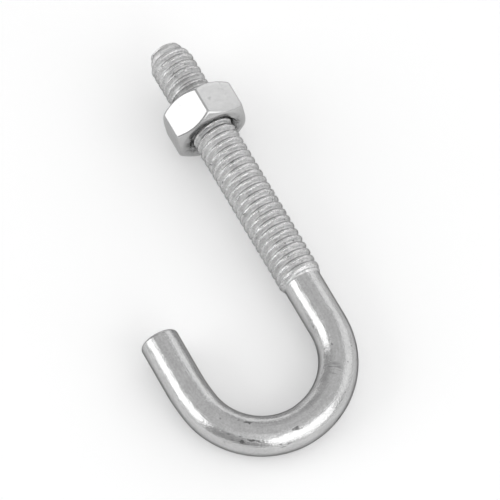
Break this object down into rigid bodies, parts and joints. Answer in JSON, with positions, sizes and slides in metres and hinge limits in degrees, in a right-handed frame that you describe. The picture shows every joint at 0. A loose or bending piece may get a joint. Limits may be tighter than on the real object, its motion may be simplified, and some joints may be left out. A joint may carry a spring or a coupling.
{
  "type": "j bolt with hex nut",
  "caption": "J-shaped bolt of round steel rod, hooked at one end and threaded at the other, with a hex nut that runs on the thread.",
  "frame": {"origin": "inside of the bend at its lowest point, where the hooked bar bears", "axes": "+Y from the bend along the straight shank towards the threaded tip, +X from the short leg towards the shank, +Z square to the plane of the J"},
  "size_m": [0.0365, 0.0766, 0.0144],
  "materials": {
    "plated_rod": "bright zinc plating, semi-gloss, slightly streaked along the rod",
    "plated_nut": "bright zinc plating, glossy flats"
  },
  "bodies": {
    "rod": {"hook_rod": "plated_rod"},
    "nut": {"hex_nut": "plated_nut"}
  },
  "joints": [
    {"name": "nut_travel", "type": "slide", "parent": "rod", "child": "nut", "axis": [0, 1, 0], "range_m": [-0.02963, 0.01129]}
  ]
}
